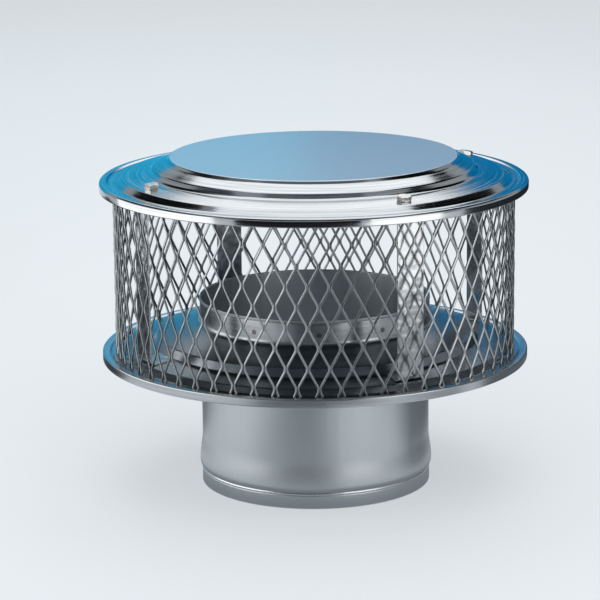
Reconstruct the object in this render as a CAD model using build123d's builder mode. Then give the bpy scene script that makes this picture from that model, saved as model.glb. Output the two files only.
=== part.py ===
"""Round chimney cap for a 203 mm flue: a spun lid and base plate held apart by four straps inside
a band of expanded metal, on a collar that slips over the flue pipe.

Millimetres. +Z is up, the origin is the centre of the collar's lower edge, and -Y is the front.
"""

from build123d import *
from math import atan2, cos, hypot, radians, sin, tan
import os

# Collar: a rolled tube whose straight bore slips over the flue pipe.
flue_pipe_radius = 101.6
flue_clearance = 0.2
collar_wall = 0.6
socket_band_height = 11.4
socket_band_step = 0.6
groove_width = 1.0
groove_step = 0.2
bead_step = 2.5
bead_rise = 7.6
swell_length = 25.0
top_lip_width = 1.2
top_lip_drop = 2.6
top_lip_corner = 0.8

# The lid and the base plate are spun from the same sheet over the same former, as far in as the
# ledge. Heights on a pan are measured up from the lower lip of its rim.
pan_sheet = 0.8
pan_radius = 190.8
rim_height = 7.9
rim_width = 6.4
lip_width = 4.0
trough_height = 6.7
trough_wall_width = 1.8
trough_width = 6.4
ledge_curb_width = 6.1
ledge_width = 23.8
ledge_outer_height = 11.5
ledge_inner_height = 14.8
step_width = 4.6
base_z = 115.2

# Lid: a rounded step, a narrow terrace, a short riser and the raised disc.
lid_step_height = 19.8
lid_shoulder_width = 5.1
lid_shoulder_height = 23.5
terrace_width = 6.4
disc_foot_height = 25.1
disc_riser_width = 2.3
disc_height = 27.9

# Base plate: a higher step, a shallow cone and the neck drawn up around the collar.
base_step_height = 22.2
cone_slope = 13.8
neck_bend_width = 2.4
neck_bend_rise = 2.9
neck_height = 54.4
neck_clearance = 0.05
neck_lip_gap = 0.4

# Screen: expanded metal, one diamond to each flat facet, cut just past a row of bonds.
diamonds_around = 60
diamond_rows = 4
diamond_height = 35.2
strand_width = 2.2
screen_height = 152.4
screen_thickness = 2.0
screen_phase = 0.8
screen_clearance = 0.2
screen_play = 0.1

# Straps: bent strip, spot welded to the base's ledge and bolted under the lid's ledge.
strap_count = 4
strap_phase = 28.2
strap_width = 25.4
strap_thickness = 1.5
strap_setback = 0.5
strap_end_gap = 1.3
strap_bend_radius = 5.0
foot_seat_clearance = 0.05
lid_seat_clearance = 0.1

# Bolts: quarter-inch hexagon bolts, each with a split washer and a nut under the strap.
bolt_radius = 3.175
nut_wall_gap = 3.0
bolt_head_flats = 11.1
bolt_head_height = 4.0
bolt_tail = 2.0
hole_clearance = 0.35
thread_clearance = 0.05
nut_flats = 11.1
nut_height = 5.5
washer_width = 2.3
washer_thickness = 1.6
washer_split = 1.2

# Sizes that follow from the ones above.
bore_radius = flue_pipe_radius + flue_clearance
collar_radius = bore_radius + collar_wall
groove_z = socket_band_height + groove_width
bead_crest_z = groove_z + bead_rise
swell_top_z = bead_crest_z + swell_length
collar_top_z = base_z + neck_height
neck_radius = collar_radius + neck_clearance + pan_sheet
trough_outer_radius = pan_radius - rim_width - trough_wall_width
trough_inner_radius = trough_outer_radius - trough_width
ledge_outer_radius = trough_inner_radius - ledge_curb_width
ledge_inner_radius = ledge_outer_radius - ledge_width
step_radius = ledge_inner_radius - step_width
lid_shoulder_radius = step_radius - lid_shoulder_width
disc_foot_radius = lid_shoulder_radius - terrace_width
disc_radius = disc_foot_radius - disc_riser_width
cone_top_radius = neck_radius + neck_bend_width
cone_rise = (step_radius - cone_top_radius) * tan(radians(cone_slope))
cone_top_z = base_z + base_step_height + cone_rise
ledge_rise = ledge_inner_height - ledge_outer_height
ledge_tilt = atan2(ledge_rise, ledge_width)
screen_z = base_z + trough_height + screen_play
lid_z = screen_z + screen_height + screen_play + pan_sheet - trough_height
strap_radius = ledge_outer_radius - strap_setback
strap_end_radius = ledge_inner_radius + strap_end_gap
nut_corner_radius = nut_flats / 2 / cos(radians(30))
bolt_pitch_radius = strap_radius - strap_thickness - nut_wall_gap - nut_corner_radius
strap_head_depth = pan_sheet + lid_seat_clearance
washer_depth = strap_head_depth + strap_thickness
nut_depth = washer_depth + washer_thickness


def ledge_height(radius):
    """Height of the ledge's upper face above the lip of its pan, at a radius."""
    return ledge_outer_height + (ledge_outer_radius - radius) * ledge_rise / ledge_width


def sheet_section(outline, thickness):
    """Closed section of a bent sheet: one face's outline, and the other face to the left of it,
    mitred at each bend. A negative thickness puts the other face on the right."""
    points = [Vector(*point) for point in outline]
    runs = [(end - start).normalized() for start, end in zip(points, points[1:])]
    normals = [Vector(-run.Y, run.X) for run in runs]
    before = [normals[0]] + normals
    after = normals + [normals[-1]]
    other_face = [
        point + (first + second) * (thickness / (1 + first.dot(second)))
        for point, first, second in zip(points, before, after)
    ]
    return points + other_face[::-1]


def pan_points(z):
    """Upper face of a pan, as (radius, height), from its turned-in lip to the end of its ledge."""
    return [
        (pan_radius - lip_width, z),
        (pan_radius, z),
        (pan_radius, z + rim_height),
        (pan_radius - rim_width, z + rim_height),
        (trough_outer_radius, z + trough_height),
        (trough_inner_radius, z + trough_height),
        (ledge_outer_radius, z + ledge_outer_height),
        (ledge_inner_radius, z + ledge_inner_height),
    ]


def bolt_plane(depth):
    """Plane square to the bolt on +X, at a depth below the upper face of the lid's ledge."""
    normal = Vector(sin(ledge_tilt), 0, cos(ledge_tilt))
    seat = Vector(bolt_pitch_radius, 0, lid_z + ledge_height(bolt_pitch_radius))
    return Plane(origin=seat - normal * depth, x_dir=(0, 1, 0), z_dir=normal)


def bead_points():
    """Bore side of the bead: a quarter round up from the groove, then a long swell inwards."""
    quarter = [
        (
            bore_radius + groove_step + (bead_step - groove_step) * sin(radians(angle)),
            bead_crest_z - (bead_crest_z - groove_z) * cos(radians(angle)),
        )
        for angle in range(0, 90, 30)
    ]
    swell = [
        (
            bore_radius + bead_step * (1 + cos(radians(angle))) / 2,
            bead_crest_z + (swell_top_z - bead_crest_z) * angle / 180,
        )
        for angle in range(0, 181, 45)
    ]
    return quarter + swell


def from_front(index, count, phase):
    """Turn about Z that carries a piece from +X to its place, counted from the front."""
    return phase - 90 + 360 * index / count


os.makedirs("parts", exist_ok=True)

# Lid: the pan's upper face carried on over the step to the disc, as a sheet below it, spun.
with BuildPart() as bolt_holes:
    with BuildSketch(bolt_plane(0)):
        Circle(bolt_radius + hole_clearance)
    extrude(amount=2 * pan_sheet, both=True)

lid_outline = [
    *pan_points(lid_z),
    (step_radius, lid_z + lid_step_height),
    (lid_shoulder_radius, lid_z + lid_shoulder_height),
    (disc_foot_radius, lid_z + disc_foot_height),
    (disc_radius, lid_z + disc_height),
    (0, lid_z + disc_height),
]

with BuildPart() as lid:
    with BuildSketch(Plane.XZ):
        with BuildLine():
            Polyline(*sheet_section(lid_outline, pan_sheet), close=True)
        make_face()
    revolve(axis=Axis.Z)
    for index in range(strap_count):
        turn = from_front(index, strap_count, strap_phase)
        add(bolt_holes.part.rotate(Axis.Z, turn), mode=Mode.SUBTRACT)

lid.part.label = "lid"
export_step(lid.part, "parts/lid.step")

# Base plate: the same pan, whose open middle is drawn up into a neck around the collar.
base_outline = [
    *pan_points(base_z),
    (step_radius, base_z + base_step_height),
    (cone_top_radius, cone_top_z),
    (neck_radius, cone_top_z + neck_bend_rise),
    (neck_radius, collar_top_z - top_lip_drop - neck_lip_gap),
]

with BuildPart() as base_plate:
    with BuildSketch(Plane.XZ):
        with BuildLine():
            Polyline(*sheet_section(base_outline, pan_sheet), close=True)
        make_face()
    revolve(axis=Axis.Z)

base_plate.part.label = "base_plate"
export_step(base_plate.part, "parts/base_plate.step")

# Collar: the bore's outline from the socket band over the bead to the lip that is rolled out over
# the top of the neck, as a sheet outside it, spun.
collar_outline = [
    (bore_radius + socket_band_step, 0),
    (bore_radius + socket_band_step, socket_band_height),
    *bead_points(),
    (bore_radius, collar_top_z - top_lip_corner),
    (bore_radius + top_lip_corner, collar_top_z),
    (collar_radius + top_lip_width, collar_top_z),
    (collar_radius + top_lip_width, collar_top_z - top_lip_drop),
]

with BuildPart() as collar:
    with BuildSketch(Plane.XZ):
        with BuildLine():
            Polyline(*sheet_section(collar_outline, -collar_wall), close=True)
        make_face()
    revolve(axis=Axis.Z)

collar.part.label = "collar"
export_step(collar.part, "parts/collar.step")

# Screen: one flat facet of the band, between two columns of bonds, with its full diamonds in the
# middle and half ones at both edges, repeated around the band.
half_angle = radians(180 / diamonds_around)
inner_radius = (trough_inner_radius + screen_clearance) / cos(half_angle)
screen_radius = inner_radius + screen_thickness
half_pitch = screen_radius * sin(half_angle)
half_height = diamond_height / 2
strand_inset = strand_width / 2 * hypot(half_pitch, half_height) / half_height
opening_half_width = half_pitch - strand_inset
opening_half_height = half_height * opening_half_width / half_pitch
middle_z = screen_z + screen_height / 2

with BuildPart() as facet:
    with BuildSketch(Plane.XY.offset(screen_z)):
        Polygon(
            (screen_radius * cos(half_angle), screen_radius * sin(half_angle)),
            (inner_radius * cos(half_angle), inner_radius * sin(half_angle)),
            (inner_radius * cos(half_angle), -inner_radius * sin(half_angle)),
            (screen_radius * cos(half_angle), -screen_radius * sin(half_angle)),
            align=None,
        )
    extrude(amount=screen_height)
    with BuildSketch(Plane((screen_radius, 0, middle_z), x_dir=(0, 1, 0), z_dir=(1, 0, 0))):
        with GridLocations(2 * half_pitch, diamond_height, 2, diamond_rows):
            Polygon(
                (opening_half_width, 0),
                (0, opening_half_height),
                (-opening_half_width, 0),
                (0, -opening_half_height),
                align=None,
            )
        with GridLocations(0, diamond_height, 1, diamond_rows + 1):
            Polygon(
                (opening_half_width, 0),
                (0, opening_half_height),
                (-opening_half_width, 0),
                (0, -opening_half_height),
                align=None,
            )
    extrude(amount=-2 * screen_thickness, mode=Mode.SUBTRACT)

with BuildPart() as screen:
    first_facet = screen_phase - 90 + 180 / diamonds_around
    with PolarLocations(0, diamonds_around, start_angle=first_facet):
        add(facet.part)

screen.part.label = "screen"
export_step(screen.part, "parts/screen.step")

# Strap: the outer face of the strip from its foot on the base's ledge to its head under the
# lid's ledge, thickened inwards and drawn out to its width, with the bolt's hole in the head.
foot_lift = foot_seat_clearance / cos(ledge_tilt)
head_drop = strap_head_depth / cos(ledge_tilt)

with BuildPart() as strap:
    with BuildSketch(Plane.XZ):
        with BuildLine():
            FilletPolyline(
                (strap_end_radius, base_z + ledge_height(strap_end_radius) + foot_lift),
                (strap_radius, base_z + ledge_height(strap_radius) + foot_lift),
                (strap_radius, lid_z + ledge_height(strap_radius) - head_drop),
                (strap_end_radius, lid_z + ledge_height(strap_end_radius) - head_drop),
                radius=strap_bend_radius,
            )
            offset(amount=strap_thickness, side=Side.LEFT, kind=Kind.INTERSECTION)
        make_face()
    extrude(amount=strap_width / 2, both=True)
    with BuildSketch(bolt_plane(washer_depth)):
        Circle(bolt_radius + hole_clearance)
    extrude(amount=2 * strap_thickness, both=True, mode=Mode.SUBTRACT)

# Bolt: hexagon head on the lid, shank through lid, strap, washer and nut.
with BuildPart() as lid_bolt:
    with BuildSketch(bolt_plane(0)):
        RegularPolygon(bolt_head_flats / 2, 6, major_radius=False)
    extrude(amount=bolt_head_height)
    with BuildSketch(bolt_plane(0)):
        Circle(bolt_radius)
    extrude(amount=-(nut_depth + nut_height + bolt_tail))

# Split washer: a flat ring cut through on one side.
with BuildPart() as lock_washer:
    with BuildSketch(bolt_plane(washer_depth)):
        Circle(bolt_radius + hole_clearance + washer_width)
        Circle(bolt_radius + hole_clearance, mode=Mode.SUBTRACT)
        with Locations((0, -bolt_radius - washer_width / 2)):
            Rectangle(washer_split, 2 * washer_width, mode=Mode.SUBTRACT)
    extrude(amount=-washer_thickness)

# Nut: plain hexagon.
with BuildPart() as lid_nut:
    with BuildSketch(bolt_plane(nut_depth)):
        RegularPolygon(nut_flats / 2, 6, major_radius=False)
        Circle(bolt_radius + thread_clearance, mode=Mode.SUBTRACT)
    extrude(amount=-nut_height)

# Each strap has its own bolt, washer and nut, numbered from the front towards the right.
for name, piece in [
    ("strap", strap),
    ("lid_bolt", lid_bolt),
    ("lock_washer", lock_washer),
    ("lid_nut", lid_nut),
]:
    for index in range(strap_count):
        placed = piece.part.rotate(Axis.Z, from_front(index, strap_count, strap_phase))
        placed.label = f"{name}_{index + 1}"
        export_step(placed, f"parts/{placed.label}.step")
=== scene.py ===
# %% [markdown]
# # A round stainless chimney cap
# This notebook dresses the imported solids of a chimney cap: a spun lid and base plate, a collar that
# slips over the flue pipe, a band of expanded metal, four straps and their bolts. The solids give
# every size and place. Each cell makes one real piece or one real finish, and says why that way.

# %% Load the solids as the frame
import math

import bmesh
import bpy
from mathutils import Matrix, Vector


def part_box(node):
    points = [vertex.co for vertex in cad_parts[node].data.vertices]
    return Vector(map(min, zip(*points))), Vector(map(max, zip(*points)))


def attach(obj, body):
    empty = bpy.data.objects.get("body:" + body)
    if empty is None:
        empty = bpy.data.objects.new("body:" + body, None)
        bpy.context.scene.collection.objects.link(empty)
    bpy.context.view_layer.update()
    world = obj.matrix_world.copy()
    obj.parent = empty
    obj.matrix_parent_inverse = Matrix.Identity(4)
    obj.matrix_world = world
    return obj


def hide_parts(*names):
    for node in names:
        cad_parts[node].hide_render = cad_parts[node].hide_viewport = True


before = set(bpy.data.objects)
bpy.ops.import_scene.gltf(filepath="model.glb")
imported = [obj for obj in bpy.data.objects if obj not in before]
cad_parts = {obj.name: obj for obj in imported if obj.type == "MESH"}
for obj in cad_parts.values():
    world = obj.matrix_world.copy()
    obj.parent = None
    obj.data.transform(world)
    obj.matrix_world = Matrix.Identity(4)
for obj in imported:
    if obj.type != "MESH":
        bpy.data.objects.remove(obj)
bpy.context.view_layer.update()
MM = 0.001
TURN = 2 * math.pi
print("solids loaded:", len(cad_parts))

# %% [markdown]
# ## Sizes
# The real cap fits an 8 inch flue pipe, with a 15 inch lid and a 6 inch screen. All its sizes could
# be typed in here, but the dressed pieces would then stay behind when a solid changes. So whatever
# the box of a solid can tell is read from it. A box can't show a thickness, a slope or a bend, so
# the rest repeats the workshop sizes of the sheet, in millimetres.

# %% Sizes read from the solids
lid_low, lid_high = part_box("lid")
base_low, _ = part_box("base_plate")
_, collar_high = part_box("collar")
screen_low, screen_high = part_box("screen")

pan_radius = lid_high.x / MM
lid_z = lid_low.z / MM
base_z = base_low.z / MM
collar_top_z = collar_high.z / MM
screen_z = screen_low.z / MM
screen_height = (screen_high.z - screen_low.z) / MM
print(f"lid {2 * pan_radius:.1f} mm across, its top {lid_high.z / MM:.1f} mm above the floor")

# %% Workshop sizes
pan_sheet = 0.8
collar_wall = 0.6
slip_fit = 0.05
bore_radius = 101.8
collar_radius = bore_radius + collar_wall
neck_radius = collar_radius + slip_fit + pan_sheet
ledge_inset = 20.7
ledge_width = 23.8
ledge_outer_radius = pan_radius - ledge_inset
ledge_inner_radius = ledge_outer_radius - ledge_width
ledge_outer_height = 11.5
ledge_inner_height = 14.8
ledge_slope = (ledge_inner_height - ledge_outer_height) / (ledge_outer_radius - ledge_inner_radius)
ledge_tilt = math.atan(ledge_slope)


def ledge_height(radius):
    """Height of a ledge's upper face above the lip of its pan, at a radius."""
    return ledge_outer_height + (ledge_outer_radius - radius) * ledge_slope


print(f"the ledges rise inwards by {math.degrees(ledge_tilt):.1f} degrees")

# %% [markdown]
# ## Small helpers
# Colours are written as the hex values seen on a screen, and shaders want linear light, so one
# function converts them. A material is a tree of nodes, and each node could be made in four or five
# lines of its own. One function that adds any node with its settings and links keeps each material
# to a few readable lines instead. Inputs that share a name are counted from 0: a Map Range takes
# its value as 0, the range it comes from as 1 and 2, and the range it goes to as 3 and 4.

# %% Colour and node helpers


def linear(hex_colour):
    """An sRGB hex colour as linear red, green, blue and an alpha of 1."""
    channels = [int(hex_colour[i : i + 2], 16) / 255 for i in (1, 3, 5)]
    return (*[c / 12.92 if c <= 0.04045 else ((c + 0.055) / 1.055) ** 2.4 for c in channels], 1)


def add(tree, kind, inputs=None, **settings):
    """Adds a shader node. An input's value is a number, a colour, an output, or another node, which
    gives its first output that is in use."""
    made = tree.nodes.new("ShaderNode" + kind)
    for name, value in settings.items():
        setattr(made, name, value)
    for socket, value in (inputs or {}).items():
        if isinstance(value, bpy.types.Node):
            value = next(output for output in value.outputs if output.enabled)
        if isinstance(value, bpy.types.NodeSocket):
            tree.links.new(value, made.inputs[socket])
        else:
            made.inputs[socket].default_value = value
    return made


def metal(name, colour, roughness):
    """A bare metal with a plain finish, as (material, tree, its shader)."""
    made = bpy.data.materials.new(name)
    made.use_nodes = True
    shader = made.node_tree.nodes["Principled BSDF"]
    shader.inputs["Base Color"].default_value = linear(colour)
    shader.inputs["Metallic"].default_value = 1
    shader.inputs["Roughness"].default_value = roughness
    print(f"{name}: {colour}, roughness {roughness}")
    return made, made.node_tree, shader


print("mid grey on the screen is this much light:", round(linear("#808080")[0], 3))

# %% [markdown]
# A piece starts as a bmesh, which is Blender's mesh for editing. The next helper turns a finished
# one into an object and hangs it on the one body that this part has. Modifiers such as Solidify
# could stay live, but they are kept as plain mesh, so that the faces it counts are the real ones.
# Weighted normals are always the last of them: they let the broad flat faces keep their own
# direction, so that all the bending shows in the narrow bends, as on pressed sheet. Without them a
# mirror-like ledge would look pillowed.

# %% Piece helpers
crease_angle = 32
flat_face_weight = 90


def piece(name, mesh, materials, stands_for, sharp=crease_angle, modifiers=()):
    """Makes an object from a bmesh, with its place in its mesh, for the nodes it stands for."""
    data = bpy.data.meshes.new(name)
    mesh.to_mesh(data)
    mesh.free()
    for material in materials:
        data.materials.append(material)
    made = bpy.data.objects.new(name, data)
    bpy.context.scene.collection.objects.link(made)
    data.shade_smooth()
    data.set_sharp_from_angle(angle=math.radians(sharp))
    weighted = ("WEIGHTED_NORMAL", {"keep_sharp": True, "weight": flat_face_weight})
    for kind, settings in (*modifiers, weighted):
        modifier = made.modifiers.new(kind.lower(), kind)
        for setting, value in settings.items():
            setattr(modifier, setting, value)
    evaluated = made.evaluated_get(bpy.context.evaluated_depsgraph_get())
    made.data = bpy.data.meshes.new_from_object(evaluated)
    made.modifiers.clear()
    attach(made, "root")
    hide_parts(*stands_for)
    print(f"{name}: {len(made.data.polygons)} faces")
    return made


def wall(thickness, inside=0):
    """Solidify settings that thicken a sheet on its inner side, with a material slot for it."""
    settings = {
        "thickness": thickness * MM,
        "offset": -1,
        "use_even_offset": True,
        "material_offset": inside,
    }
    return ("SOLIDIFY", settings)


print(f"bends of over {crease_angle} degrees stay creases")

# %% [markdown]
# ## Camera
# The photograph was taken from about 2.4 m away with a long lens, a little above the lid. A camera
# could be set by eye, but each wrong guess bends all the ellipses a little, so the distance, the
# height and the lens come from fitting the rims' ellipses. The camera leans over by half a degree,
# so it is turned about its own line of sight.

# %% Camera
camera_distance = 2.421
camera_elevation = math.radians(13.11)
camera_roll = math.radians(-0.55)
camera_target = Vector((-0.0131, 0, 0.1641))
photo_width = 600
focal_pixels = 2695
sensor_width = 36

camera_data = bpy.data.cameras.new("camera")
camera_data.sensor_width = sensor_width
camera_data.lens = focal_pixels * sensor_width / photo_width
camera = bpy.data.objects.new("camera", camera_data)
back = Vector((0, -math.cos(camera_elevation), math.sin(camera_elevation)))
upright = back.to_track_quat("Z", "Y").to_matrix().to_4x4()
rolled = upright @ Matrix.Rotation(camera_roll, 4, "Z")
camera.matrix_world = Matrix.Translation(camera_target + back * camera_distance) @ rolled
bpy.context.scene.collection.objects.link(camera)
bpy.context.scene.camera = camera
bpy.context.scene.view_settings.view_transform = "Standard"
print(f"lens {camera_data.lens:.1f} mm")

# %% [markdown]
# ## Floor and world
# The cap stands on plain pale paper that reaches past the picture. Paper that is only lit would
# grow darker towards the back, and paper that only glows would show no shadow. So about half of
# what the camera and the metal see of it is its own even colour and the rest is lit: it stays pale
# to the top of the picture and still takes the soft shadow under the cap.

# %% Floor
floor_reach = 14
even_share = 0.52
paper_roughness = 0.8
floor_mesh = bmesh.new()
bmesh.ops.create_grid(floor_mesh, x_segments=1, y_segments=1, size=floor_reach)
floor_data = bpy.data.meshes.new("floor")
floor_mesh.to_mesh(floor_data)
floor_mesh.free()
floor = bpy.data.objects.new("floor", floor_data)
bpy.context.scene.collection.objects.link(floor)

paper = bpy.data.materials.new("pale_paper")
paper.use_nodes = True
tree = paper.node_tree
shader = tree.nodes["Principled BSDF"]
shader.inputs["Base Color"].default_value = linear("#EEF3F6")
shader.inputs["Roughness"].default_value = paper_roughness
rays = add(tree, "LightPath").outputs
metal_or_camera = {0: rays["Is Camera Ray"], 1: rays["Is Glossy Ray"]}
seen = add(tree, "Math", metal_or_camera, operation="MAXIMUM")
even = add(tree, "Math", {0: seen, 1: even_share}, operation="MULTIPLY")
glow = add(tree, "Emission", {"Color": linear("#F2F7FA"), "Strength": 1})
both = add(tree, "MixShader", {0: even, 1: shader, 2: glow})
tree.links.new(both.outputs[0], tree.nodes["Material Output"].inputs["Surface"])
floor_data.materials.append(paper)
print(f"floor reaches {floor_reach} m each way")

# %% [markdown]
# The studio's walls are far off and fill in a little light from every side. One background could
# serve for that light and for the picture, but the light that suits the metal is too dim behind the
# paper. So the camera sees a pale haze of its own there, and all else gets the weaker fill.

# %% World
fill_strength = 0.55
world = bpy.data.worlds.new("studio")
world.use_nodes = True
bpy.context.scene.world = world
tree = world.node_tree
surround = tree.nodes["Background"]
surround.inputs["Color"].default_value = linear("#DDE3E7")
surround.inputs["Strength"].default_value = fill_strength
camera_ray = add(tree, "LightPath").outputs["Is Camera Ray"]
haze = add(tree, "Background", {"Color": linear("#D4DADE"), "Strength": 1})
both = add(tree, "MixShader", {0: camera_ray, 1: surround, 2: haze})
tree.links.new(both.outputs[0], tree.nodes["World Output"].inputs["Surface"])
print(f"the fill is {fill_strength} as strong as the haze")

# %% [markdown]
# ## Lights
# Polished steel has hardly any colour of its own: it shows what stands around it. So the studio
# matters as much as the material. A picture of a real studio could light it, but each ring of the
# cap would catch stray shapes. Two soft boxes are more even. One hangs flat overhead and reaches
# far behind the cap. The other one lights the front of the floor and doesn't show in the metal.

# %% Soft boxes


def facing(place, aim):
    """Matrix of something that stands at a place and looks at a point, along its own -Z."""
    sight = Vector(aim) - Vector(place)
    return Matrix.Translation(place) @ sight.to_track_quat("-Z", "Y").to_matrix().to_4x4()


def soft_box(name, place, aim, width, height, radiance, shows_in_metal=True):
    """Area lamp whose face has the given brightness, where 1 is white on the screen."""
    lamp = bpy.data.lights.new(name, "AREA")
    lamp.shape = "RECTANGLE"
    lamp.size = width
    lamp.size_y = height
    lamp.energy = radiance * math.pi * width * height
    made = bpy.data.objects.new(name, lamp)
    made.matrix_world = facing(place, aim)
    made.visible_camera = False
    made.visible_glossy = shows_in_metal
    bpy.context.scene.collection.objects.link(made)
    print(f"{name}: {width} by {height} m, brightness {radiance}")


soft_box("overhead_box", (0, 1.3, 1.5), (0, 1.3, 0), 1.36, 3.2, 1.12)
soft_box("floor_fill", (0, -1.6, 1.7), (0, -1.3, 0), 2.4, 1.4, 2.0, shows_in_metal=False)

# %% [markdown]
# Cards give the metal something to mirror, as in a photographer's studio. They could be lamps, but
# a lamp also lights the floor and washes out the shadow. A card is a plain sheet that glows in one
# colour, is seen by the metal and not by the camera, and throws no shadow.

# %% Card helpers


def around(azimuth, distance, height):
    """Point round the object. Azimuth 0 is the front and grows towards the viewer's right."""
    angle = math.radians(azimuth)
    return Vector((distance * math.sin(angle), -distance * math.cos(angle), height))


def card(name, place, aim, width, height, colour, strength=1.0, corners=4):
    """Plain card that the metal reflects and the camera doesn't see. Many corners make it round."""
    mesh = bmesh.new()
    if corners == 4:
        bmesh.ops.create_grid(mesh, x_segments=1, y_segments=1, size=0.5)
    else:
        bmesh.ops.create_circle(mesh, cap_ends=True, segments=corners, radius=0.5)
    bmesh.ops.scale(mesh, vec=(width, height, 1), verts=mesh.verts)
    bmesh.ops.transform(mesh, matrix=facing(place, aim), verts=mesh.verts)
    data = bpy.data.meshes.new(name)
    mesh.to_mesh(data)
    mesh.free()
    face = bpy.data.materials.new(name)
    face.use_nodes = True
    tree = face.node_tree
    tree.nodes.remove(tree.nodes["Principled BSDF"])
    shine = add(tree, "Emission", {"Color": linear(colour), "Strength": strength})
    tree.links.new(shine.outputs[0], tree.nodes["Material Output"].inputs["Surface"])
    data.materials.append(face)
    made = bpy.data.objects.new(name, data)
    made.visible_camera = False
    made.visible_shadow = False
    made.visible_diffuse = False
    bpy.context.scene.collection.objects.link(made)


print("a point half a metre in front of the cap:", tuple(around(0, 0.5, 0)))

# %% [markdown]
# White cards at the sides make the bright bands on the collar and the rims, and dark ones between
# them leave black bands on the steep faces. The ledges mirror the greys on the ceiling, and two
# blue cards at the back colour the faces that look up. Greys on the floor darken what looks down,
# with a round one for the collar's foot. One picture could hold them all, but cards can be moved
# one at a time, until each band sits where the photograph has it.

# %% Place the cards
side_z = 0.275
side_height = 0.37
side_strength = 2.0
ceiling_z = 1.5
blue_z = 0.7
floor_card_z = 0.003
foot_card_z = 0.0005

left_place, right_place = around(-80, 0.6, side_z), around(42.5, 0.626, side_z)
card("white_left", left_place, (0, 0, side_z), 0.78, side_height, "#FFFFFF", side_strength)
card("white_right", right_place, (0, 0, side_z), 0.4, side_height, "#FFFFFF", side_strength)
card("dark_front", (-0.117, -0.62, 0.2), (-0.117, 0, 0.2), 0.7, 0.22, "#26292B")
card("dark_right", around(118, 0.66, 0.165), (0, 0, 0.165), 1.16, 0.21, "#2B2F33")
for name, x, y, width, height, colour in (
    ("grey_ceiling_near", 0, -0.62, 1.4, 0.5, "#6A747C"),
    ("dark_ceiling_front", 0, -1.75, 3.8, 1.7, "#39424A"),
    ("grey_ceiling_edge", -0.9, -0.06, 0.4, 0.66, "#858D93"),
    ("dark_ceiling_left", -1.3, 1.22, 1.06, 1.84, "#101314"),
    ("dark_ceiling_right", 1.24, 0.95, 1.12, 2.4, "#101314"),
    ("grey_ceiling_left", -1.5, -0.1, 0.76, 0.78, "#40484E"),
):
    card(name, (x, y, ceiling_z), (x, y, 0), width, height, colour)
card("blue_back_left", (-1.4, 3.1, blue_z), (-1.4, 0, blue_z), 2.8, 1.4, "#2BB0E0")
card("blue_back_right", (1.4, 3.1, blue_z), (1.4, 0, blue_z), 2.8, 1.4, "#0A7DB4")
# The greys on the floor are painted shade: in the metal they stand for paper that lies in the cap's
# shadow.
for name, x, y, width, height, colour in (
    ("grey_floor_near", -0.1, -0.36, 0.3, 0.42, "#9EA6AC"),
    ("grey_floor_far", 0, -0.92, 0.78, 0.7, "#5F686E"),
    ("grey_floor_right", 0.6, 0.5, 0.84, 1.1, "#6C757B"),
    ("grey_floor_left", -0.25, 0.42, 0.24, 0.6, "#6C757B"),
    ("grey_floor_corner", 0.72, -0.5, 0.62, 0.62, "#A3AAAF"),
    ("dark_floor_left", -0.75, 0.65, 0.8, 1.0, "#262D31"),
):
    card(name, (x, y, floor_card_z), (x, y, -1), width, height, colour)
# The round card is a painted contact shadow round the collar's foot.
card("foot_shadow", (0, 0, foot_card_z), (0, 0, -1), 0.28, 0.28, "#8F969B", corners=64)
print(f"ceiling cards hang {ceiling_z} m up, floor cards lie {floor_card_z / MM:.0f} mm up")

# %% [markdown]
# ## Finishes
# The whole cap is 304 stainless steel, and its pieces differ in how they were worked. The lid and
# the base plate were spun on a lathe against a former, so fine concentric lines run round them,
# which the eye sees as thin grey rings in the bright faces. An anisotropic shader would blur the
# reflections round the axis without showing a line, so the lines are a noise that is stretched
# round the axis instead. The real tool's lines are under half a millimetre apart, which wouldn't
# show, so they are drawn 1.6 mm apart.

# %% Coordinates of a turned surface
tool_line = 1.6
arc_changes = 1.6


def turned_coordinates(tree):
    """Coordinates that change slowly round the Z axis and fast across a turned surface, with the
    distance from the axis and the height in metres."""
    place = add(tree, "TexCoord").outputs["Object"]
    flat = add(tree, "VectorMath", {0: place, 1: (1, 1, 0)}, operation="MULTIPLY")
    radius = add(tree, "VectorMath", {0: flat}, operation="LENGTH")
    ray = add(tree, "VectorMath", {0: flat}, operation="NORMALIZE")
    swept = add(tree, "VectorMath", {0: ray, "Scale": arc_changes}, operation="SCALE")
    height = add(tree, "SeparateXYZ", {0: place}).outputs["Z"]
    across = add(tree, "Math", {0: radius, 1: height}, operation="SUBTRACT")
    lines = add(tree, "Math", {0: across, 1: tool_line * MM}, operation="DIVIDE")
    lifted = add(tree, "CombineXYZ", {"Z": lines})
    turned_place = add(tree, "VectorMath", {0: swept, 1: lifted}, operation="ADD")
    return turned_place, radius, height


print(f"lathe lines drawn {tool_line} mm apart")

# %% Spun sheet
mill_roughness = 0.3
satin_edge = 0.3
line_low, line_high = 0.35, 0.65
hollow_end, crest_start = 0.38, 0.6
line_strength = 0.5


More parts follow.
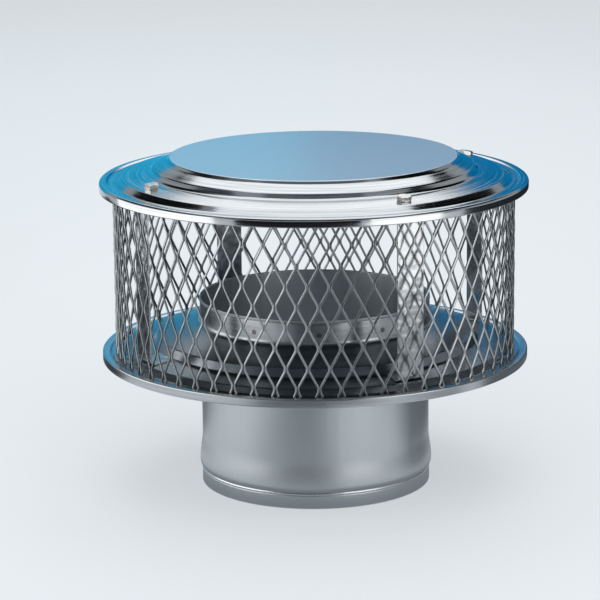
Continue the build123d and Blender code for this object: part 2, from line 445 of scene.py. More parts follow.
def spun_finish(name, hollow, crest, roughness, swing, line_depth, satin_radius=0.0):
    """Steel with the lathe's lines, in one colour in their hollows and one on their crests. Inside
    the satin radius it keeps the mill's own roughness."""
    spun, tree, shader = metal(name, crest, roughness)
    turned_place, radius, height = turned_coordinates(tree)
    lines = add(tree, "TexNoise", {"Vector": turned_place, "Scale": 1, "Detail": 2})
    low, high = (satin_radius - satin_edge) * MM, satin_radius * MM
    worked = add(tree, "MapRange", {0: radius, 1: low, 2: high, 3: 0, 4: 1})
    level = add(tree, "MapRange", {0: radius, 1: low, 2: high, 3: mill_roughness, 4: roughness})
    shift = add(tree, "MapRange", {0: lines, 1: line_low, 2: line_high, 3: -swing, 4: swing})
    kept = add(tree, "Math", {0: worked, 1: shift}, operation="MULTIPLY")
    rough = add(tree, "Math", {0: level, 1: kept}, operation="ADD")
    tree.links.new(rough.outputs[0], shader.inputs["Roughness"])
    relief = add(tree, "Math", {0: lines, 1: worked}, operation="MULTIPLY")
    depth = {"Height": relief, "Strength": line_strength, "Distance": line_depth * MM}
    tree.links.new(add(tree, "Bump", depth).outputs[0], shader.inputs["Normal"])
    crests = add(tree, "MapRange", {0: lines, 1: hollow_end, 2: crest_start, 3: 0, 4: 1})
    ends = {"Factor": crests, "A": linear(hollow), "B": linear(crest)}
    lined = add(tree, "Mix", ends, data_type="RGBA")
    return spun, tree, shader, radius, height, lined


print(f"an unworked face keeps the mill's roughness of {mill_roughness}")

# %% [markdown]
# The lid's raised disc was never touched by the spinning tool and keeps the even satin of the mill.
# It could be a material of its own on the faces of the disc, but the change runs along a circle
# that the material can measure by itself, so both finishes are one material with a mask by radius.

# %% Lid with its satin disc
disc_radius = 127.9
spun_lid, tree, shader, radius, _, lined = spun_finish(
    "spun_304_with_satin_disc",
    hollow="#ABAFB2",
    crest="#C5C8CA",
    roughness=0.13,
    swing=0.06,
    line_depth=0.08,
    satin_radius=disc_radius,
)
span = {0: radius, 1: (disc_radius - satin_edge) * MM, 2: disc_radius * MM, 3: 0, 4: 1}
off_disc = add(tree, "MapRange", span)
# The disc's blue tint is a painted reflection of the blue at the back of the studio.
shades = {"Factor": off_disc, "A": linear("#CAD4D8"), "B": lined}
shade = add(tree, "Mix", shades, data_type="RGBA")
tree.links.new(shade.outputs["Result"], shader.inputs["Base Color"])
print(f"satin disc {2 * disc_radius:.1f} mm across")

# %% [markdown]
# The lid's underside was against the former and is left as it came off: dull, with soft clouds
# about an inch wide where the metal was pressed harder. Its dark grey is painted shade, as it faces
# down under the lid. The clouds could be painted as lighter spots, but the steel has one colour
# there, so a slow noise in the roughness alone gives them.
# Three more finishes have such a grain, so one function makes it.

# %% Dull underside in painted shade
cloud_size = 33
noise_low, noise_high = 0.3, 0.7


def grained(name, colour, roughness, size, detail, smoothest, roughest, squeeze=1.0):
    """A metal whose roughness changes in grains of a size in millimetres, which are longer along Z
    where they are squeezed. Its noise, coordinates and roughness come with it."""
    made, tree, shader = metal(name, colour, roughness)
    place = add(tree, "TexCoord").outputs["Object"]
    scaled = add(tree, "Mapping", {"Vector": place, "Scale": (1, 1, squeeze)})
    noise = {"Vector": scaled, "Scale": 1 / (size * MM), "Detail": detail}
    grain = add(tree, "TexNoise", noise)
    span = {0: grain, 1: noise_low, 2: noise_high, 3: smoothest, 4: roughest}
    rough = add(tree, "MapRange", span)
    tree.links.new(rough.outputs[0], shader.inputs["Roughness"])
    print(f"grains {size} mm wide, roughness from {smoothest} to {roughest}")
    return made, tree, shader, grain, place, rough


# Its dark grey colour is painted shade on the face that looks down under the lid.
dull_and_shaded, *_ = grained("unpolished_304_in_shade", "#66696C", 0.5, cloud_size, 3, smoothest=0.42, roughest=0.58)

# %% [markdown]
# Spot welds hold the neck of the base plate to the collar. Each leaves a shallow round mark that is
# brown where the heat coloured the steel. Small discs laid on the wall would show an edge, and the
# real marks have none, so the material measures how far a point is from the nearest mark: along the
# wall and up it.

# %% Spun sheet with weld marks
weld_count = 11
weld_azimuth = math.radians(1.7)
weld_z = 156.5
weld_radius = 2.6
weld_core = 0.7
weld_tint = 0.75
weld_reach = 2
weld_pitch = TURN * neck_radius * MM / weld_count

spun_base, tree, shader, radius, height, lined = spun_finish(
    "spun_304_with_welds",
    hollow="#B0B4B6",
    crest="#BDC0C2",
    roughness=0.24,
    swing=0.025,
    line_depth=0.008,
)
place = add(tree, "TexCoord").outputs["Object"]
parts = add(tree, "SeparateXYZ", {0: place}).outputs
forward = add(tree, "Math", {0: parts["Y"], 1: -1}, operation="MULTIPLY")
azimuth = add(tree, "Math", {0: parts["X"], 1: forward}, operation="ARCTAN2")
turned_on = add(tree, "Math", {0: azimuth, 1: weld_azimuth}, operation="SUBTRACT")
steps = add(tree, "Math", {0: turned_on, 1: weld_count / TURN}, operation="MULTIPLY")
nearest = add(tree, "Math", {0: steps}, operation="ROUND")
offset = add(tree, "Math", {0: steps, 1: nearest}, operation="SUBTRACT")
along = add(tree, "Math", {0: offset, 1: weld_pitch}, operation="MULTIPLY")
upward = add(tree, "Math", {0: height, 1: weld_z * MM}, operation="SUBTRACT")
spot = add(tree, "CombineXYZ", {"X": along, "Y": upward})
away = add(tree, "VectorMath", {0: spot}, operation="LENGTH")
edge = {0: away, 1: weld_core * weld_radius * MM, 2: weld_radius * MM, 3: weld_tint, 4: 0}
mark = add(tree, "MapRange", edge)
reach = (neck_radius + weld_reach) * MM
on_neck = add(tree, "Math", {0: radius, 1: reach}, operation="LESS_THAN")
heat = add(tree, "Math", {0: mark, 1: on_neck}, operation="MULTIPLY")
print(f"{weld_count} weld marks, {weld_pitch / MM:.1f} mm apart")

# %% [markdown]
# The pan between the neck and the rim is darker grey, which is painted shade under the lid; the rim
# and the neck keep the bright steel. Vertex colours could paint that, but they would need a loop of
# points at each edge. Two ramps by radius, multiplied, give a darker ring with soft edges.

# %% Painted shade on the pan round the neck
shade_from, shade_fade_in = neck_radius + 0.8, 0.8
shade_to, shade_fade_out = pan_radius - 8, 1
start = {0: radius, 1: shade_from * MM, 2: (shade_from + shade_fade_in) * MM, 3: 0, 4: 1}
end = {0: radius, 1: shade_to * MM, 2: (shade_to + shade_fade_out) * MM, 3: 1, 4: 0}
inner = add(tree, "MapRange", start)
outer = add(tree, "MapRange", end)
pan = add(tree, "Math", {0: inner, 1: outer}, operation="MULTIPLY")
# The darker grey is painted shade on the pan under the lid.
greys = {"Factor": pan, "A": lined, "B": linear("#969DA2")}
pan_in_shade = add(tree, "Mix", greys, data_type="RGBA")
browns = {"Factor": heat, "A": pan_in_shade, "B": linear("#4E443B")}
tint = add(tree, "Mix", browns, data_type="RGBA")
tree.links.new(tint.outputs["Result"], shader.inputs["Base Color"])
print(f"dull from {shade_from:.1f} to {shade_to:.1f} mm off the axis")

# %% [markdown]
# The collar was rolled from mill finished sheet. It is duller than the lid, so its reflections are
# broad upright bands, with a faint streak from the rolls. The streaks are a noise squeezed along
# the height. The real ones are about a tenth of a millimetre wide, and these are drawn 3 mm wide so
# that they show. The narrow rib above the socket band shows a bright line. A mask by height gives it
# a closer polish and a lighter colour, and that lighter colour is a painted highlight.

# %% Rolled sheet with a painted highlight on the rib
streak_width = 3
streak_squeeze = 0.03
rib_line_z = 13.2
rib_line_reach, rib_line_fade = 1.1, 2.0
rib_polish = 0.75
mill_grey = "#C2C6C9"
rolled_sheet, tree, shader, streaks, place, rough = grained(
    "rolled_304_stainless", mill_grey, 0.4, streak_width, 3, 0.35, 0.45, streak_squeeze
)
height = add(tree, "SeparateXYZ", {0: place}).outputs["Z"]
above = add(tree, "Math", {0: height, 1: rib_line_z * MM}, operation="SUBTRACT")
from_rib = add(tree, "Math", {0: above}, operation="ABSOLUTE")
fade = {0: from_rib, 1: rib_line_reach * MM, 2: rib_line_fade * MM, 3: 0, 4: 1}
off_rib = add(tree, "MapRange", fade)
# The lighter colour on the rib is a painted highlight.
shades = {"Factor": off_rib, "A": linear("#D4D8DA"), "B": linear(mill_grey)}
shade = add(tree, "Mix", shades, data_type="RGBA")
tree.links.new(shade.outputs["Result"], shader.inputs["Base Color"])
closer = add(tree, "MapRange", {0: off_rib, 1: 0, 2: 1, 3: rib_polish, 4: 1})
polish = add(tree, "Math", {0: rough, 1: closer}, operation="MULTIPLY")
tree.links.new(polish.outputs[0], shader.inputs["Roughness"])
relief = add(tree, "Math", {0: streaks, 1: off_rib}, operation="MULTIPLY")
depth = {"Height": relief, "Strength": 0.25, "Distance": 0.05 * MM}
tree.links.new(add(tree, "Bump", depth).outputs[0], shader.inputs["Normal"])
print(f"streaks {streak_width / streak_squeeze:.0f} mm long")

# %% [markdown]
# Expanded metal is slit and stretched cold, which tears the skin of the steel into a fine grit, so
# it glints in small points instead of mirroring. A higher roughness alone would give an even grey.
# The real grit is under a tenth of a millimetre, and is drawn 1.4 mm wide so that it shows.

# %% Expanded metal
grit_size = 1.4
stretched, tree, shader, grit, *_ = grained(
    "stretched_304_stainless", "#A6AAAC", 0.26, grit_size, 2, smoothest=0.24, roughest=0.38
)
depth = {"Height": grit, "Strength": 0.25, "Distance": 0.1 * MM}
tree.links.new(add(tree, "Bump", depth).outputs[0], shader.inputs["Normal"])

# %% [markdown]
# The straps are cut from bright cold rolled strip. It is nearly a mirror, but never quite flat, so
# what it reflects is broken into patches about a centimetre wide. A shallow slow bump does that
# better than a noise in the colour, because the patches then follow the lights.

# %% Bright strip
wave_size = 10.5
strip, tree, shader = metal("bright_304_strip", "#B9BCBE", 0.2)
place = add(tree, "TexCoord").outputs["Object"]
noise = {"Vector": place, "Scale": 1 / (wave_size * MM), "Detail": 1}
waves = add(tree, "TexNoise", noise)
depth = {"Height": waves, "Strength": 0.6, "Distance": 1.0 * MM}
tree.links.new(add(tree, "Bump", depth).outputs[0], shader.inputs["Normal"])
print(f"waves {wave_size} mm wide")

# %% [markdown]
# Bolts, washers and nuts are cold formed between dies. They come out clean and faintly warm in
# colour, with tiny pits that make the highlights uneven. The pits could be a bump, but at this size
# only a change of roughness shows. They are drawn 0.7 mm wide, several times their real size.

# %% Cold formed steel
pit_size = 0.7
bolt_steel, *_ = grained(
    "cold_formed_stainless", "#CFCDC8", 0.26, pit_size, 2, smoothest=0.2, roughest=0.34
)

# %% [markdown]
# ## Lid and base plate
# Both are spun from flat sheet: a lathe turns the sheet while a roller presses it over a former. A
# stack of cylinders and cones could stand for it, but every bend would then be a join. In Blender
# the natural tool is the same motion: the face's outline is drawn once as a few points, each bend
# is rounded by a vertex bevel, and the line is spun about the Z axis. A Solidify modifier then
# gives it the thickness of the sheet.

# %% Round a bend, cut across and spin a line
around_steps = 288
bend_segments = 4
merge_distance = 0.002


def rounded(mesh, corners, offset, segments, affect="VERTICES"):
    """Bevels points or edges of a mesh to a round of a few segments."""
    bmesh.ops.bevel(
        mesh,
        geom=corners,
        offset=offset,
        offset_type="OFFSET",
        segments=segments,
        profile=0.5,
        affect=affect,
        material=-1,
    )


def spin_about_z(mesh, geom, angle, steps, climb=0.0, **settings):
    """Spins part of a mesh about the Z axis, and lifts it by climb metres at each step."""
    bmesh.ops.spin(
        mesh,
        geom=geom,
        cent=(0, 0, 0),
        axis=(0, 0, 1),
        dvec=(0, 0, climb),
        angle=angle,
        steps=steps,
        **settings,
    )


def everything(mesh):
    """All the points, edges and faces of a mesh."""
    return mesh.verts[:] + mesh.edges[:] + mesh.faces[:]


def cut(mesh, geom, place, normal, dist=1e-7, **settings):
    """Cuts part of a mesh with a plane."""
    bmesh.ops.bisect_plane(mesh, geom=geom, dist=dist, plane_co=place, plane_no=normal, **settings)


def spun_line(outline, z):
    """A bmesh surface spun from (radius, height, ease) points, where ease rounds the bend."""
    mesh = bmesh.new()
    points = [mesh.verts.new((r * MM, 0, (z + h) * MM)) for r, h, _ in outline]
    for pair in zip(points, points[1:]):
        mesh.edges.new(pair)
    for point, (_, _, ease) in zip(points, outline):
        if ease:
            rounded(mesh, [point], ease * MM, bend_segments)
    spin_about_z(mesh, mesh.verts[:] + mesh.edges[:], TURN, around_steps, use_merge=True)
    bmesh.ops.remove_doubles(mesh, verts=mesh.verts, dist=merge_distance * MM)
    bmesh.ops.recalc_face_normals(mesh, faces=mesh.faces)
    return mesh


print(f"{around_steps} faces round a rim, each {TURN * pan_radius / around_steps:.1f} mm long")

# %% [markdown]
# One side of a spun surface shows and the other one gets the wall, and on an open sheet Blender
# can't tell which is which. It could be set by trial for each piece. One known face settles it
# instead: it has to look up, or towards the axis, or else the whole surface is turned over.

# %% Turn a surface the right way out


def outward(mesh, radius, z, to_axis=False):
    """Turns a surface so that its face nearest to a spot, in mm, looks up or to the axis."""
    probe = Vector((radius * MM, z * MM))

    def distance(face):
        middle = face.calc_center_median()
        return (Vector((middle.xy.length, middle.z)) - probe).length

    nearest = min(mesh.faces, key=distance)
    out = -nearest.calc_center_median().xy.to_3d() if to_axis else Vector((0, 0, 1))
    turned_over = nearest.normal.dot(out) < 0
    if turned_over:
        bmesh.ops.reverse_faces(mesh, faces=mesh.faces)
    print("surface turned over:", turned_over)
    return mesh


# %% Outlines of the two pans
lip_reach = 4.0
rim_height = 7.9
rim_width = 6.4
trough_outer = 8.2
trough_inner = 14.6
trough_height = 6.7
lid_steps = [(142.9, 20.0, 0.9), (130.2, 25.1, 0.6)]
disc_height = 27.9
cone_foot_radius = 141.7
cone_foot_height = 22.2
cone_slope = math.tan(math.radians(13.8))
cone_top_radius = neck_radius + 2.4
cone_top = cone_foot_height + (cone_foot_radius - cone_top_radius) * cone_slope
neck_rise = 2.9
neck_edge_drop = 3.0


def pan_outline(rim_ease, step_ease):
    """Rim, trough and ledge, which are the same on both pans but for two of their bends."""
    return [
        (pan_radius - lip_reach, 0, 0),
        (pan_radius, 0, 1.0),
        (pan_radius, rim_height, rim_ease),
        (pan_radius - rim_width, rim_height, 2.0),
        (pan_radius - trough_outer, trough_height, 0.5),
        (pan_radius - trough_inner, trough_height, 0.9),
        (ledge_outer_radius, ledge_outer_height, 0.9),
        (ledge_inner_radius, ledge_inner_height, step_ease),
    ]


lid_disc = [(disc_radius, disc_height, 0.6), (0, disc_height, 0)]
lid_outline = pan_outline(2.6, 2.2) + lid_steps + lid_disc
base_outline = pan_outline(1.2, 0.9) + [
    (cone_foot_radius, cone_foot_height, 0.8),
    (cone_top_radius, cone_top, 1.5),
    (neck_radius, cone_top + neck_rise, 1.5),
    (neck_radius, collar_top_z - neck_edge_drop - base_z, 0),
]
print(f"points drawn: {len(lid_outline)} for the lid, {len(base_outline)} for the base")

# %% Lid and base plate
on_disc_radius = 60
on_cone_radius, on_cone_height = 120, 27

lid_mesh = outward(spun_line(lid_outline, lid_z), on_disc_radius, lid_z + disc_height)
two_sided = [wall(pan_sheet, inside=1)]
piece("lid_spun", lid_mesh, [spun_lid, dull_and_shaded], ["lid"], modifiers=two_sided)

base_mesh = outward(spun_line(base_outline, base_z), on_cone_radius, base_z + on_cone_height)
one_sided = [wall(pan_sheet)]
piece("base_plate_spun", base_mesh, [spun_base], ["base_plate"], modifiers=one_sided)

# %% [markdown]
# ## Collar
# The collar is rolled from sheet, then beaded at its lower end on a beading machine: a groove, a
# round bead and a long swell. Its wall could be a plain tube with rings set on it, but the sheet
# itself is bent there. So the outline of its bore is drawn, with a formula for the round stretches,
# and spun like the pans.

# %% Outline of the bead
rib_z = 13.0
rib_radius = 1.2
rib_step = 0.9
groove_step = 0.1
groove_z = 14.6
groove_drop = 0.3
bead_step = 2.5
bead_z = 20.0
swell_top = 45.0


def bead_outline():
    """Bore side of the bead: a narrow rib and a groove, a quarter round out of the groove, and a
    long swell back to the bore."""
    points = []
    for angle in (math.radians(degrees) for degrees in range(-50, 51, 20)):
        step = rib_step - rib_radius * (1 - math.cos(angle))
        points.append((bore_radius + step, rib_z + rib_radius * math.sin(angle), 0))
    points.append((bore_radius + groove_step, groove_z - groove_drop, 0.2))
    for angle in (math.radians(degrees) for degrees in range(10, 90, 8)):
        step = groove_step + (bead_step - groove_step) * math.sin(angle)
        points.append((bore_radius + step, bead_z - (bead_z - groove_z) * math.cos(angle), 0))
    for degrees in range(0, 181, 10):
        step = bead_step * (1 + math.cos(math.radians(degrees))) / 2
        points.append((bore_radius + step, bead_z + (swell_top - bead_z) * degrees / 180, 0))
    return points


print(f"bead drawn with {len(bead_outline())} points")

# %% Outline of the collar
band_height = 11.4
band_step = 0.6
band_ease = 0.3
band_rise = 0.4
top_flare = 0.8
lip_width = 1.2
lip_drop = 2.6
on_band_height = 5

collar_outline = [
    (bore_radius + band_step, 0, 0),
    (bore_radius + band_step, band_height, band_ease),
    (bore_radius + band_ease, band_height + band_rise, 0),
    *bead_outline(),
    (bore_radius, collar_top_z - top_flare, 0.4),
    (bore_radius + top_flare, collar_top_z, 0.4),
    (collar_radius + lip_width, collar_top_z, 0.5),
    (collar_radius + lip_width, collar_top_z - lip_drop, 0),
]
collar_mesh = outward(spun_line(collar_outline, 0), bore_radius, on_band_height, to_axis=True)
print(f"collar {collar_top_z:.1f} mm high")

# %% [markdown]
# The rolled sheet's two edges meet in a lap seam, a narrow strip that stands one sheet proud inside
# the bore. A strip laid on the wall would need its own ends and rounding. Instead the wall is cut
# at both sides of the lap, and what lies between the cuts is moved in by one sheet.

# %% Lap seam and collar
lap_azimuth = -137.8
lap_width = 12
lap_ramp = 0.4


def lapped(mesh, azimuth, width, depth):
    """Steps a narrow upright strip of a tube in by its sheet, where one end laps the other."""
    for reach in (0, lap_ramp, width - lap_ramp, width):
        angle = math.radians(azimuth) + reach / bore_radius
        towards = Vector((math.sin(angle), -math.cos(angle), 0))
        near = [face for face in mesh.faces if face.calc_center_median().dot(towards) > 0]
        edges = {edge for face in near for edge in face.edges}
        verts = {vert for face in near for vert in face.verts}
        cut(mesh, [*near, *edges, *verts], (0, 0, 0), (math.cos(angle), math.sin(angle), 0))
    for vert in mesh.verts:
        turn = (math.atan2(vert.co.x, -vert.co.y) - math.radians(azimuth)) % TURN
        if lap_ramp / 2 < turn * bore_radius < width - lap_ramp / 2:
            vert.co -= vert.co.xy.to_3d().normalized() * depth * MM


lapped(collar_mesh, lap_azimuth, lap_width, collar_wall)
steel_wall = [wall(collar_wall)]
piece("collar_rolled", collar_mesh, [rolled_sheet], ["collar"], modifiers=steel_wall)

# %% [markdown]
# ## Screen
# Expanded metal is one sheet, slit in rows and stretched. Every strand zigzags from bond to bond,
# and the stretching turns it, so that its flat side leans. A picture of diamonds on a plain band
# would look flat from the side. A strand is therefore one bar, cut into short lengths only where it
# bends, whose points are swayed sideways by one formula. A mirrored pair of strands is then
# repeated round the band.

# %% Sizes of the screen
diamonds_around = 60
diamond_height = 35.2
bond_length = 3.4
strand_width = 2.1
strand_depth = 1.6
strand_corner = 0.4
strand_twist = math.radians(22)
strand_overlap = 0.1
screen_phase = math.radians(0.8)
half_pitch_angle = TURN / diamonds_around / 2
screen_mid_radius = 177.6
first_bond_z = 127.8
last_bond_z = first_bond_z + 4 * diamond_height
leg_splay = 0.85
print(f"diamonds {2 * half_pitch_angle * screen_mid_radius:.1f} mm wide and {diamond_height} mm high")

# %% Sway of a strand
bend_ease = 0.12


def sway(z):
    """Lean of a strand at a height, from -1 at its left bonds to 1 at its right bonds."""
    past_end = min(0, z - first_bond_z) + max(0, z - last_bond_z)
    rise = (z - past_end * (1 - leg_splay) - first_bond_z) / diamond_height
    triangle = 4 * abs(rise - math.floor(rise + 0.5)) - 1
    lean = triangle / (1 - 2 * bond_length / diamond_height)
    if abs(lean) < 1 - bend_ease:
        return lean
    eased = 1 - max(0, 1 + bend_ease - abs(lean)) ** 2 / (4 * bend_ease)
    return math.copysign(eased, lean)


print(f"a strand leans {sway(first_bond_z):.0f} at its first bond")

# %% Straight bar with its cuts
bend_cuts = (-3.6, -2.4, -1.2, 0, 1.2, 2.4, 3.6)


def cut_bar():
    """A straight bar in millimetres, its long edges rounded, cut across wherever it will bend."""
    bar = bmesh.new()
    bmesh.ops.create_cube(bar, size=1)
    bmesh.ops.scale(bar, vec=(strand_depth, strand_width, screen_height), verts=bar.verts)
    bmesh.ops.translate(bar, vec=(0, 0, screen_z + screen_height / 2), verts=bar.verts)
    long_edges = [e for e in bar.edges if abs(e.verts[0].co.z - e.verts[1].co.z) > 1]
    rounded(bar, long_edges, strand_corner, 1, "EDGES")
    bond = first_bond_z
    while bond < last_bond_z + 1:
        for offset in bend_cuts:
            cut(bar, everything(bar), (0, 0, bond + offset), (0, 0, 1), dist=1e-6)
        bond += diamond_height / 2
    return bar


print(f"each bend of a strand gets {len(bend_cuts)} cuts")

# %% One strand
across_twist = strand_width / 2 * math.cos(strand_twist)
out_twist = strand_width / 2 * math.sin(strand_twist)
strand_reach = half_pitch_angle / 2 * screen_mid_radius - across_twist + strand_overlap


def strand(side):
    """One zigzag strand as mesh data. Side is 1 or -1 and says which way it leans first."""
    bar = cut_bar()
    middle = screen_phase + half_pitch_angle * side / 2
    for vert in bar.verts:
        deep, wide, z = vert.co
        lean = sway(z) * side
        slope = (sway(z + 0.5) - sway(z - 0.5)) * strand_reach
        wide *= math.hypot(1, slope)
        tangent = lean * strand_reach + wide * math.cos(strand_twist) - deep * math.sin(strand_twist)
        out = lean * out_twist + wide * math.sin(strand_twist) + deep * math.cos(strand_twist)
        angle = middle + tangent / screen_mid_radius
        radius = screen_mid_radius + out
        vert.co = (radius * math.sin(angle) * MM, -radius * math.cos(angle) * MM, z * MM)
    data = bpy.data.meshes.new("strand")
    bar.to_mesh(data)
    bar.free()
    return data


print(f"a strand swings {strand_reach:.2f} mm to each side")

# %% Repeat the pair round the band
screen_mesh = bmesh.new()
screen_mesh.from_mesh(strand(1))
screen_mesh.from_mesh(strand(-1))
copies = diamonds_around - 1
angle = TURN * copies / diamonds_around
spin_about_z(screen_mesh, everything(screen_mesh), angle, copies, use_duplicate=True)
bmesh.ops.recalc_face_normals(screen_mesh, faces=screen_mesh.faces)
piece("screen_expanded_metal", screen_mesh, [stretched], ["screen"], sharp=50)

# %% [markdown]
# ## Straps
# Four strips stand just inside the screen. Each foot lies on the ledge of the base plate and each
# head under the ledge of the lid, so the bends are not square: they follow the slope of the ledges.
# Three boxes could stand for a strap, but their joins would show as hard corners. So the strip's
# face is drawn as four points in its own plane, the two corners are rounded by a vertex bevel, and
# the line is drawn out to the width of the strip. Solidify and Bevel finish it.

# %% Sizes of the straps
strap_count = 4
strap_phase = math.radians(28.2)
strap_width = 25.4
strap_thickness = 1.5
strap_radius = ledge_outer_radius - 0.5
strap_end_radius = ledge_inner_radius + 1.3
strap_bend = 5.0
strap_bend_segments = 10
foot_lift = 0.05
under_ledge = pan_sheet + 0.1
head_drop = under_ledge / math.cos(ledge_tilt)
slit_edge = 0.3


def turned_to(index):
    """Turn about Z that carries a piece from +X to the place of a strap, counted from the front."""
    return Matrix.Rotation(strap_phase - math.pi / 2 + index * TURN / strap_count, 4, "Z")


print(f"straps stand {strap_radius:.1f} mm off the axis")

# %% Straps


def strap_mesh():
    """The outer face of one strap on +X: foot, upright and head."""
    mesh = bmesh.new()
    foot = [(r, base_z + ledge_height(r) + foot_lift) for r in (strap_end_radius, strap_radius)]
    head = [(r, lid_z + ledge_height(r) - head_drop) for r in (strap_radius, strap_end_radius)]
    verts = [mesh.verts.new((r * MM, -strap_width / 2 * MM, z * MM)) for r, z in foot + head]
    for pair in zip(verts, verts[1:]):
        mesh.edges.new(pair)
    for corner, turn in ((verts[1], math.pi / 2 + ledge_tilt), (verts[2], math.pi / 2 - ledge_tilt)):
        rounded(mesh, [corner], strap_bend * math.tan(turn / 2) * MM, strap_bend_segments)
    drawn = bmesh.ops.extrude_edge_only(mesh, edges=mesh.edges[:])["geom"]
    moved = [part for part in drawn if isinstance(part, bmesh.types.BMVert)]
    bmesh.ops.translate(mesh, vec=(0, strap_width * MM, 0), verts=moved)
    bmesh.ops.recalc_face_normals(mesh, faces=mesh.faces)
    upright = max(mesh.faces, key=lambda face: face.calc_area())
    if upright.normal.x < 0:
        bmesh.ops.reverse_faces(mesh, faces=mesh.faces)
    return mesh


def edge_bevel(width, angle):
    """Bevel settings that round every edge sharper than an angle in radians."""
    settings = {"width": width * MM, "segments": 2, "limit_method": "ANGLE", "angle_limit": angle}
    return ("BEVEL", settings)


strap_finish = [wall(strap_thickness), edge_bevel(slit_edge, angle=0.9)]
for index in range(strap_count):
    mesh = strap_mesh()
    bmesh.ops.transform(mesh, matrix=turned_to(index), verts=mesh.verts)
    name, node = f"strap_strip_{index + 1}", f"strap_{index + 1}"
    piece(name, mesh, [strip], [node], sharp=40, modifiers=strap_finish)

# %% [markdown]
# ## Bolts, washers and nuts
# Each strap is held under the lid by a quarter-inch hexagon bolt, a split lock washer and a nut. A
# hexagon could be a cylinder with six sides, but turning leaves a curved chamfer on the real one's
# corners. So it is spun round first and then pushed flat on six sides, which keeps that chamfer.
# The thread is a zigzag line spun one turn while it climbs by one pitch, so that each tooth runs
# into the next.

# %% Fastener sizes
bolt_radius = 3.175
thread_pitch = 1.27
head_flats = 11.1
head_height = 4.0
washer_inner = bolt_radius + 0.35
washer_outer = washer_inner + 2.3
washer_thickness = 1.6
washer_rise = 0.3
nut_height = 5.5
bolt_end = 2.0
nut_depth = under_ledge + strap_thickness + washer_thickness
bolt_length = nut_depth + nut_height + bolt_end
hex_half = math.radians(30)
nut_corner = head_flats / 2 / math.cos(hex_half)
nut_clearance = 3.0
bolt_pitch_radius = strap_radius - strap_thickness - nut_clearance - nut_corner
seat_z = lid_z + ledge_height(bolt_pitch_radius)
print(f"bolts {bolt_length:.1f} mm long, {bolt_pitch_radius:.1f} mm off the axis")

# %% Turned shapes and hexagons
spin_steps = 48
thread_steps = 24
chamfer_radius = head_flats / 2 * 0.96
corner_radius = nut_corner + 0.01


def turned(mesh, profile, angle=TURN, climb=0.0, steps=spin_steps):
    """Spins a line of (radius, height) points in millimetres about the bolt's axis."""
    points = [mesh.verts.new((r * MM, 0, z * MM)) for r, z in profile]
    edges = [mesh.edges.new(pair) for pair in zip(points, points[1:])]
    spin_about_z(mesh, points + edges, angle, steps, climb * MM / steps, use_merge=False)
    bmesh.ops.remove_doubles(mesh, verts=mesh.verts, dist=0.001 * MM)
    return mesh


def flattened(mesh, low, high, both_ends):
    """Pushes the outermost points in to a hexagon, with the curved chamfer at its ends."""
    for vert in mesh.verts:
        flat_place = vert.co.xy
        if flat_place.length < head_flats / 2 * MM:
            continue
        angle = math.atan2(flat_place.y, flat_place.x) % (2 * hex_half) - hex_half
        radius = head_flats / 2 / math.cos(angle)
        chamfer = (radius - chamfer_radius) * math.tan(hex_half)
        vert.co.x, vert.co.y = flat_place * (radius * MM / flat_place.length)
        if vert.co.z > (low + high) / 2 * MM:
            vert.co.z = (high - chamfer) * MM
        elif both_ends:
            vert.co.z = (low + chamfer) * MM
    return mesh


def joined(*meshes):
    """One bmesh from several, with all the faces of each turned outwards."""
    whole = bmesh.new()
    for mesh in meshes:
        bmesh.ops.recalc_face_normals(mesh, faces=mesh.faces)
        data = bpy.data.meshes.new("part")
        mesh.to_mesh(data)
        mesh.free()
        whole.from_mesh(data)
    return whole


print(f"hexagons {head_flats} mm across flats and {2 * nut_corner:.1f} mm across corners")

# %% Bolt
shank_top = 0.4
seat_height = 0.5
seat_radius = head_flats / 2 - 0.3
root_radius = bolt_radius - 0.55 * thread_pitch
crest_low, crest_high = 0.45 * thread_pitch, 0.6 * thread_pitch


def threaded_shank():
    """Shank below the seat, with a real thread, cut off flat at both ends."""
    zigzag = []
    for tooth in range(-math.ceil(bolt_length / thread_pitch) - 2, 1):
        z = tooth * thread_pitch
        zigzag += [(root_radius, z), (bolt_radius, z + crest_low), (bolt_radius, z + crest_high)]
    zigzag.append((root_radius, thread_pitch))
    shank = turned(bmesh.new(), zigzag, climb=thread_pitch, steps=thread_steps)
    for z, side in ((shank_top, 1), (-bolt_length, -1)):
        cut(shank, everything(shank), (0, 0, z * MM), (0, 0, side), clear_outer=True)
        rim = [edge for edge in shank.edges if edge.is_boundary]
        ends = [e for e in rim if all(abs(v.co.z - z * MM) < 1e-6 for v in e.verts)]
        bmesh.ops.holes_fill(shank, edges=ends, sides=0)
    return shank


def bolt_mesh():
    """Hexagon head above the seat, and a threaded shank below it."""
    profile = [
        (0, head_height),
        (chamfer_radius, head_height),
        (corner_radius, head_height - 1),
        (corner_radius, seat_height),
        (seat_radius, seat_height),
        (seat_radius, 0),
        (0, 0),
    ]
    head = flattened(turned(bmesh.new(), profile), 0, head_height, False)
    return joined(head, threaded_shank())


print(f"thread {2 * bolt_radius:.2f} mm across, {2 * root_radius:.2f} mm at its root")

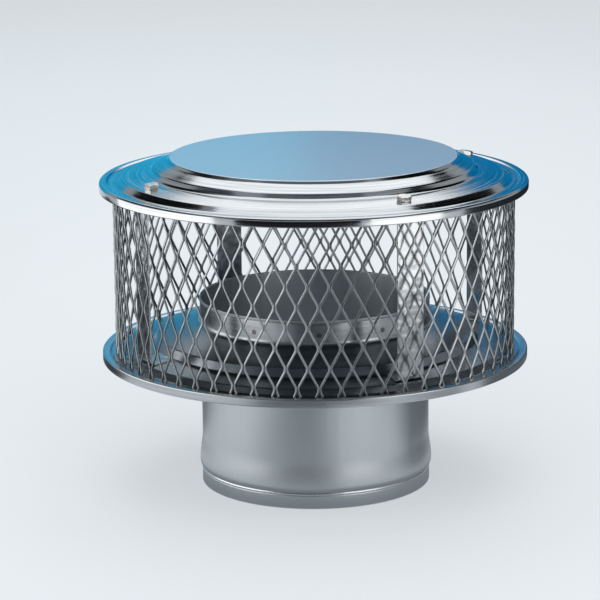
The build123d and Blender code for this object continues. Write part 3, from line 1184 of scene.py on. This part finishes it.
# %% Washer and nut
washer_turn = 0.965
hole_radius = bolt_radius - 0.1
hole_chamfer = 0.5


def washer_mesh():
    """Split washer: a bar of square section wound almost once round, one end a little higher."""
    mesh = bmesh.new()
    top = -nut_depth + washer_thickness
    low = -nut_depth
    section = [(washer_inner, top), (washer_outer, top), (washer_outer, low), (washer_inner, low)]
    turned(mesh, section + section[:1], angle=TURN * washer_turn, climb=-washer_rise)
    bmesh.ops.holes_fill(mesh, edges=[edge for edge in mesh.edges if edge.is_boundary], sides=0)
    return joined(mesh)


def nut_mesh():
    """Hexagon nut with a chamfered hole, chamfered at both ends."""
    low = -nut_depth - nut_height
    high = -nut_depth
    profile = [
        (hole_radius, low + hole_chamfer),
        (hole_radius + hole_chamfer, low),
        (chamfer_radius, low),
        (corner_radius, low + 1),
        (corner_radius, high - 1),
        (chamfer_radius, high),
        (hole_radius + hole_chamfer, high),
        (hole_radius, high - hole_chamfer),
        (hole_radius, low + hole_chamfer),
    ]
    return joined(flattened(turned(bmesh.new(), profile), low, high, True))


print(f"washer {2 * washer_outer:.1f} mm across, nut {nut_height} mm high")

# %% Place the fasteners
resting_turns = (14, 41, 27, 52)
fastener_edge = 0.12
fastener_finish = (edge_bevel(fastener_edge, angle=0.45),)
fasteners = (
    ("hex_bolt", "lid_bolt", bolt_mesh, ()),
    ("split_washer", "lock_washer", washer_mesh, fastener_finish),
    ("hex_nut", "lid_nut", nut_mesh, fastener_finish),
)
on_ledge = Matrix.Translation((bolt_pitch_radius * MM, 0, seat_z * MM))
lean = on_ledge @ Matrix.Rotation(ledge_tilt, 4, "Y")
for index, resting_turn in enumerate(resting_turns):
    seat = turned_to(index) @ lean
    spun_round = Matrix.Rotation(math.radians(resting_turn), 4, "Z")
    for name, node, make, finish in fasteners:
        mesh = make()
        bmesh.ops.transform(mesh, matrix=seat @ spun_round, verts=mesh.verts)
        stands_for = [f"{node}_{index + 1}"]
        piece(f"{name}_{index + 1}", mesh, [bolt_steel], stands_for, 24, finish)
